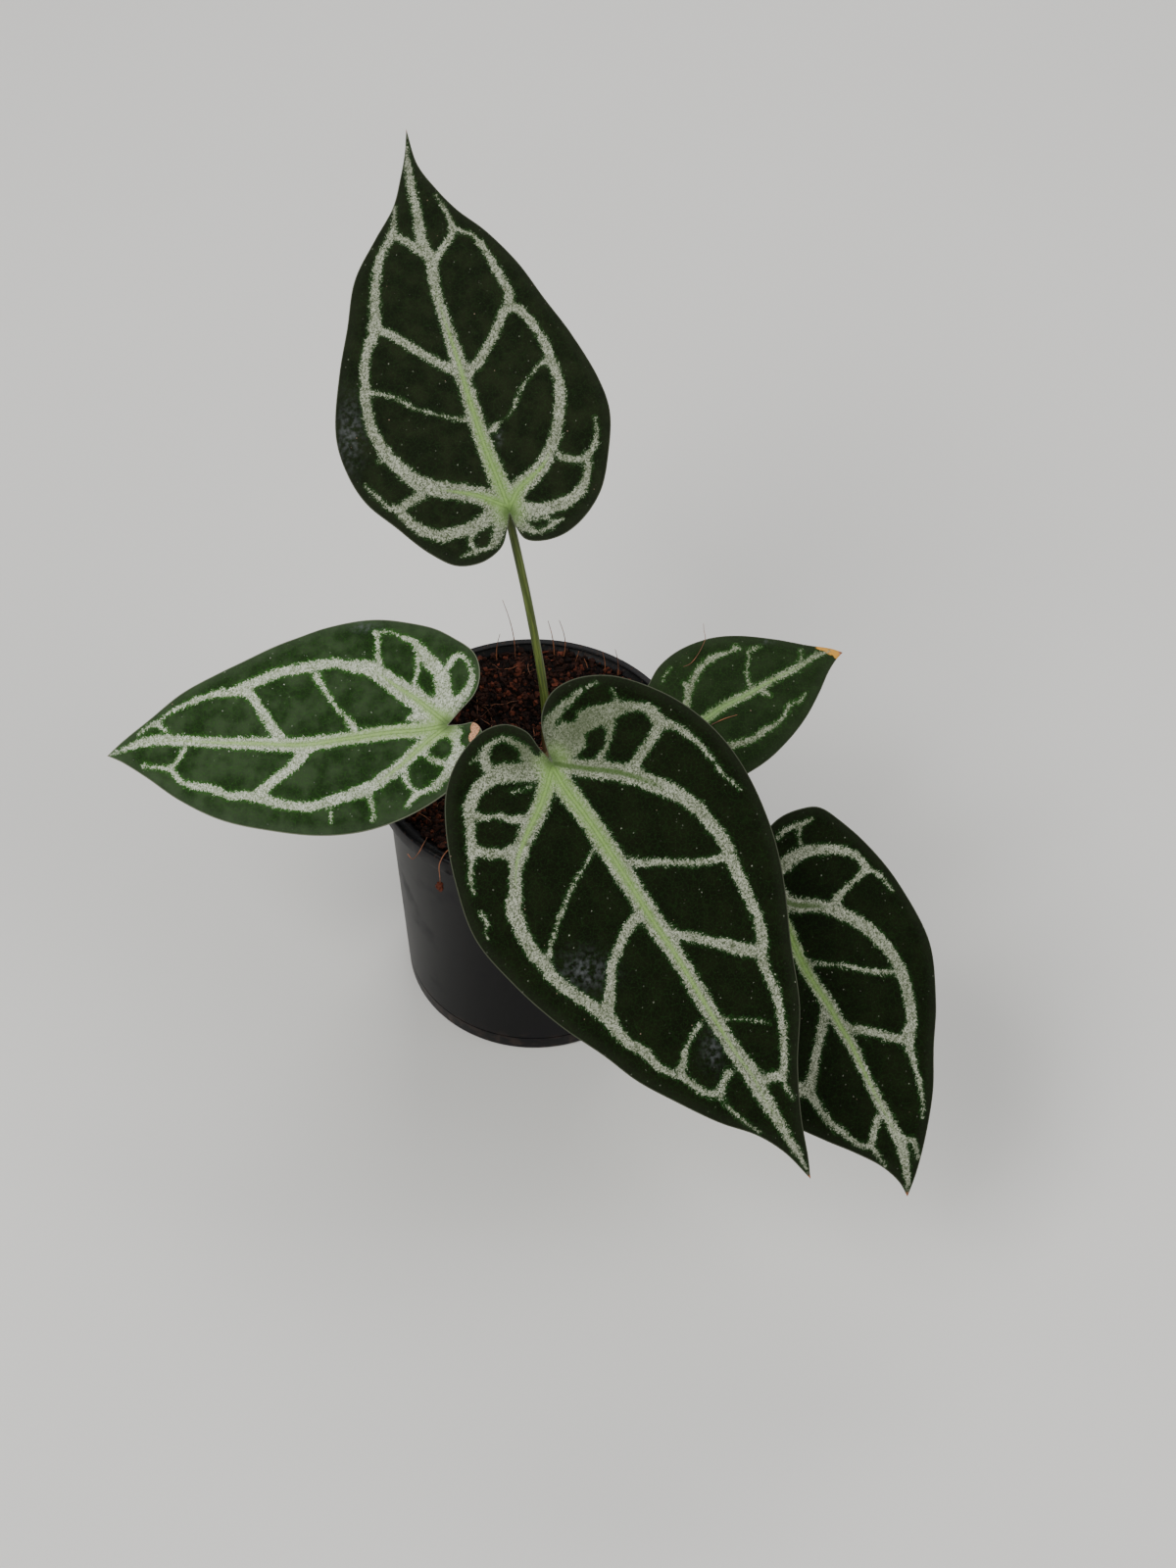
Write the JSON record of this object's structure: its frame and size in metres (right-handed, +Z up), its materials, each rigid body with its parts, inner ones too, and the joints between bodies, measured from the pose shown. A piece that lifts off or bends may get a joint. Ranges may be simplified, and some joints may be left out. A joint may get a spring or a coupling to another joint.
{
  "type": "potted anthurium hybrid",
  "caption": "Velvet-leaved anthurium hybrid with heart-shaped silver-veined blades on slim stalks, rooted in coir soil in a round nursery pot.",
  "frame": {"origin": "centre of the pot's flat base, on the surface that it stands on", "axes": "+Z up along the pot's axis; +Y towards the raised back leaf; +X towards the small leaf; the large front leaf hangs forward over -Y and +X"},
  "size_m": [0.3031, 0.349, 0.2844],
  "materials": {
    "pot_plastic": "black moulded plastic with a soft sheen",
    "coir_soil": "moist coarse coir and bark chips",
    "stem_and_roots": "matt green-brown skin",
    "leaf_stalk": "smooth green-brown skin with a soft sheen",
    "dark_velvet_blade": "dark velvety green with silver veins",
    "green_velvet_blade": "deep green with silver veins"
  },
  "bodies": {
    "root": {"pot": "pot_plastic", "soil": "coir_soil", "stem_with_roots": "stem_and_roots", "leaf_stalk_front": "leaf_stalk", "leaf_stalk_back": "leaf_stalk", "leaf_stalk_left": "leaf_stalk", "leaf_stalk_right": "leaf_stalk", "leaf_stalk_low": "leaf_stalk", "leaf_blade_front": "dark_velvet_blade", "leaf_blade_back": "dark_velvet_blade", "leaf_blade_left": "green_velvet_blade", "leaf_blade_right": "green_velvet_blade", "leaf_blade_low": "dark_velvet_blade"}
  },
  "joints": []
}
